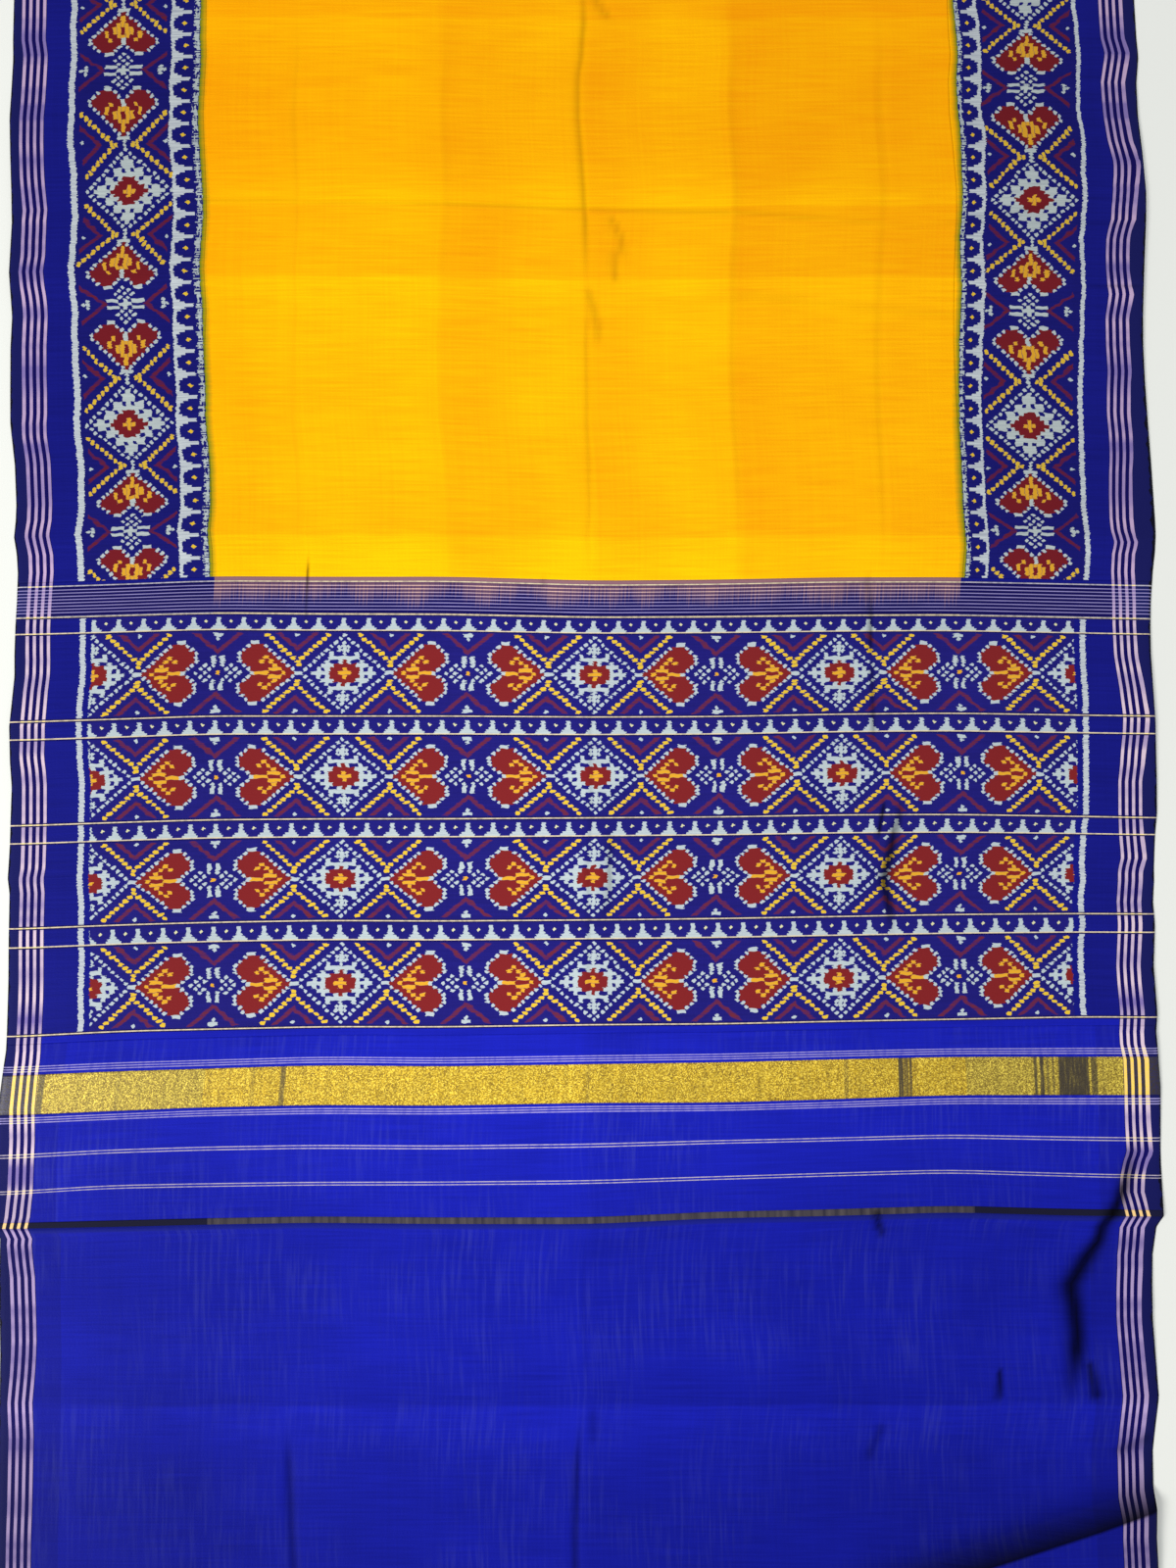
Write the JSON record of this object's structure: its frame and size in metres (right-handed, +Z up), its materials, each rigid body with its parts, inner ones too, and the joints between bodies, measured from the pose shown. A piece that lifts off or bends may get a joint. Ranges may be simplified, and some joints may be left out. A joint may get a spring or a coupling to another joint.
{
  "type": "saree",
  "caption": "Silk saree laid flat: yellow body with ikat borders, blue ikat pallu with a gold band, plain blouse piece, and the rest of its length folded in a low stack.",
  "frame": {"origin": "under the middle of the laid-out saree, on the surface that it lies on", "axes": "+X across the cloth from the left selvedge to the right as seen in the picture, +Y from the blouse end to the folded inner end, +Z up"},
  "size_m": [1.1784, 2.733, 0.0204],
  "materials": {
    "yellow_silk": "plain woven silk with a soft sheen",
    "border_ikat_silk": "blue silk with yarn-dyed motifs in white, maroon and yellow",
    "pallu_ikat_silk": "blue silk with yarn-dyed bands of motifs in white, maroon and yellow",
    "striped_silk": "blue silk with fine pale cross lines",
    "blue_silk": "plain woven silk with a soft sheen",
    "dark_silk": "loosely woven dark silk",
    "gold_zari": "metal-wrapped thread over blue silk, glinting"
  },
  "bodies": {
    "root": {"body_field": "yellow_silk", "body_border_left": "border_ikat_silk", "body_border_right": "border_ikat_silk", "pallu_header": "striped_silk", "pallu_ikat_panel": "pallu_ikat_silk", "pallu_end_upper": "blue_silk", "zari_band": "gold_zari", "pallu_end_lower": "blue_silk", "cut_strip": "dark_silk", "blouse_piece": "blue_silk", "folded_body": "yellow_silk", "inner_end": "yellow_silk"}
  },
  "joints": []
}
